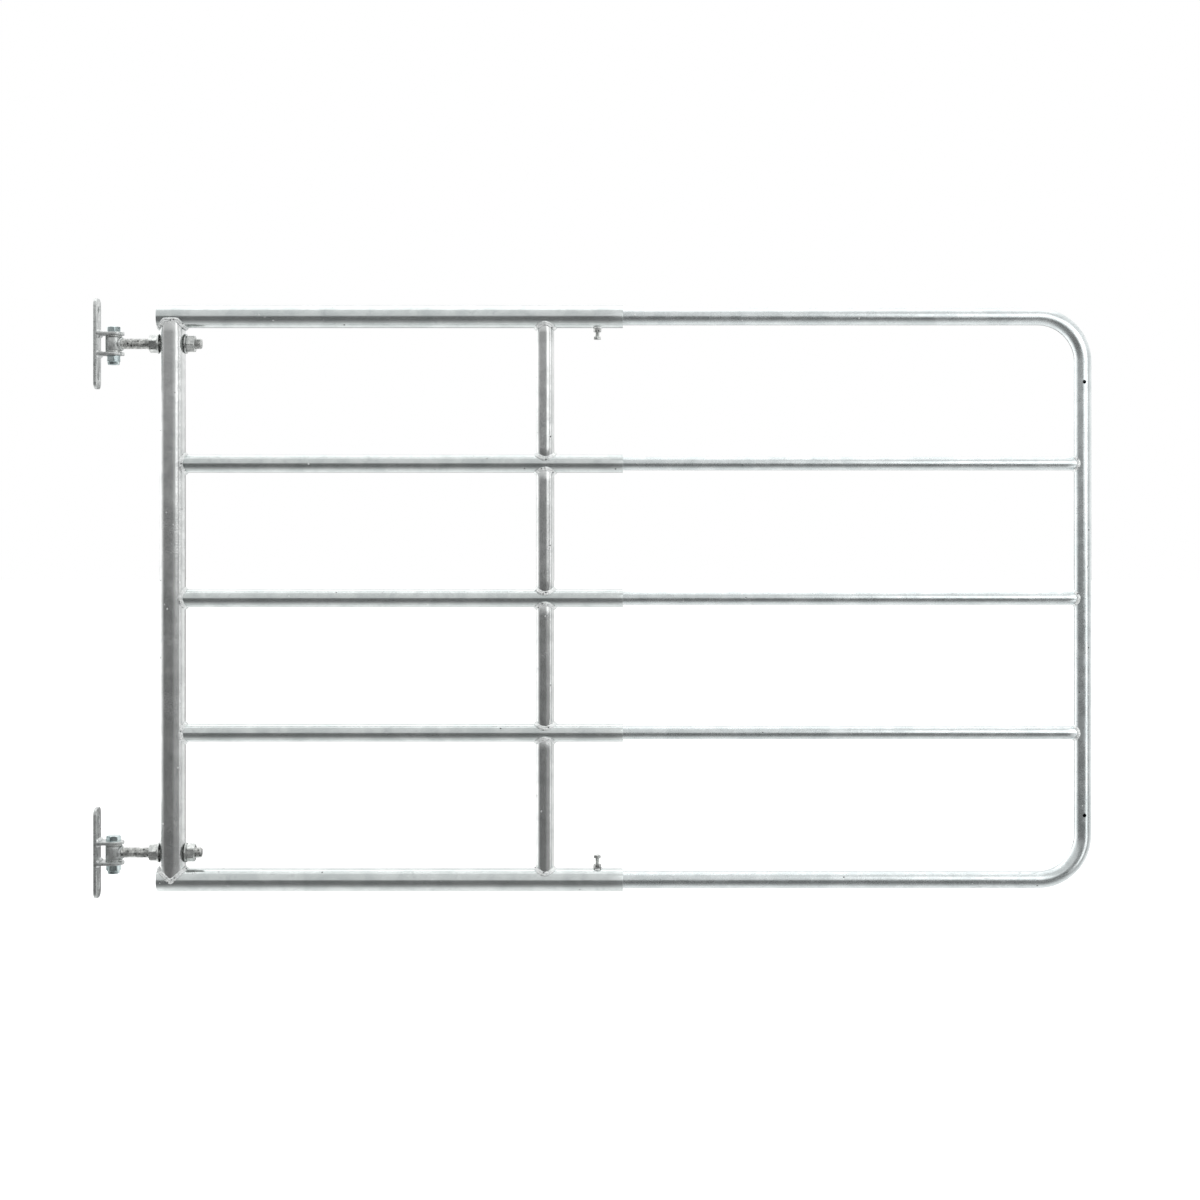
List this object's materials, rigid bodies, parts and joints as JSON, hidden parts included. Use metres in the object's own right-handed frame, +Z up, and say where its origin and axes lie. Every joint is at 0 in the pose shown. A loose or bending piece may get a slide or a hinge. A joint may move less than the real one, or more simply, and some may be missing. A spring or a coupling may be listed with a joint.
{
  "type": "extendable livestock panel gate",
  "caption": "Galvanised tube gate that telescopes to fit its opening, with adjustable eye-bolt hinges on two post brackets and clamp screws that lock its width.",
  "frame": {"origin": "centre of the back face of the lower post plate, level with the lower hinge eye", "axes": "+X along the closed gate away from the post, +Y through the gate's thickness, +Z up"},
  "size_m": [1.871, 0.0482, 1.1256],
  "materials": {
    "galvanised_tube": "hot-dip galvanised, bright with a fine spangle, drips and pits",
    "galvanised_bracket": "hot-dip galvanised, duller and lumpier than the tubes",
    "galvanised_fastener": "hot-dip galvanised threads, nuts and washers, satin",
    "zinc_plated_bolt": "bright electroplated zinc with a bluish tint",
    "nylon_ring": "natural nylon, satin"
  },
  "bodies": {
    "post_side": {"upper_post_plate": "galvanised_bracket", "upper_bracket_top_lug": "galvanised_bracket", "upper_bracket_bottom_lug": "galvanised_bracket", "upper_hinge_bolt": "zinc_plated_bolt", "upper_hinge_lock_nut": "zinc_plated_bolt", "upper_thrust_washers": "galvanised_fastener", "lower_post_plate": "galvanised_bracket", "lower_bracket_top_lug": "galvanised_bracket", "lower_bracket_bottom_lug": "galvanised_bracket", "lower_hinge_bolt": "zinc_plated_bolt", "lower_hinge_lock_nut": "zinc_plated_bolt", "lower_thrust_washers": "galvanised_fastener", "lock_nut_nylon_rings": "nylon_ring"},
    "eye_bolts": {"upper_hinge_eye": "galvanised_bracket", "upper_eye_rod": "galvanised_fastener", "lower_hinge_eye": "galvanised_bracket", "lower_eye_rod": "galvanised_fastener"},
    "outer_half": {"hinge_upright": "galvanised_tube", "top_sleeve_rail": "galvanised_tube", "upper_mid_sleeve_rail": "galvanised_tube", "centre_sleeve_rail": "galvanised_tube", "lower_mid_sleeve_rail": "galvanised_tube", "bottom_sleeve_rail": "galvanised_tube", "middle_upright_piece_1": "galvanised_tube", "middle_upright_piece_2": "galvanised_tube", "middle_upright_piece_3": "galvanised_tube", "middle_upright_piece_4": "galvanised_tube", "upper_rod_nuts": "galvanised_fastener", "upper_rod_washers": "galvanised_fastener", "lower_rod_nuts": "galvanised_fastener", "lower_rod_washers": "galvanised_fastener", "upper_clamp_nut": "galvanised_fastener", "lower_clamp_nut": "galvanised_fastener"},
    "inner_half": {"inner_bow": "galvanised_tube", "upper_mid_inner_rail": "galvanised_tube", "centre_inner_rail": "galvanised_tube", "lower_mid_inner_rail": "galvanised_tube"},
    "upper_clamp_screw": {"upper_clamp_screw": "galvanised_fastener"},
    "lower_clamp_screw": {"lower_clamp_screw": "galvanised_fastener"}
  },
  "joints": [
    {"name": "gate_swing", "type": "hinge", "parent": "post_side", "child": "eye_bolts", "pos_m": [0.034, 0, 0], "axis": [0, 0, 1], "range_deg": [-90, 90]},
    {"name": "hinge_adjust", "type": "slide", "parent": "eye_bolts", "child": "outer_half", "axis": [1, 0, 0], "range_m": [-0.03, 0.012]},
    {"name": "extension", "type": "slide", "parent": "outer_half", "child": "inner_half", "axis": [1, 0, 0], "range_m": [-0.66, 0.06]},
    {"name": "upper_clamp_release", "type": "slide", "parent": "outer_half", "child": "upper_clamp_screw", "axis": [0, 0, -1], "range_m": [0, 0.008]},
    {"name": "lower_clamp_release", "type": "slide", "parent": "outer_half", "child": "lower_clamp_screw", "axis": [0, 0, 1], "range_m": [0, 0.008]}
  ]
}
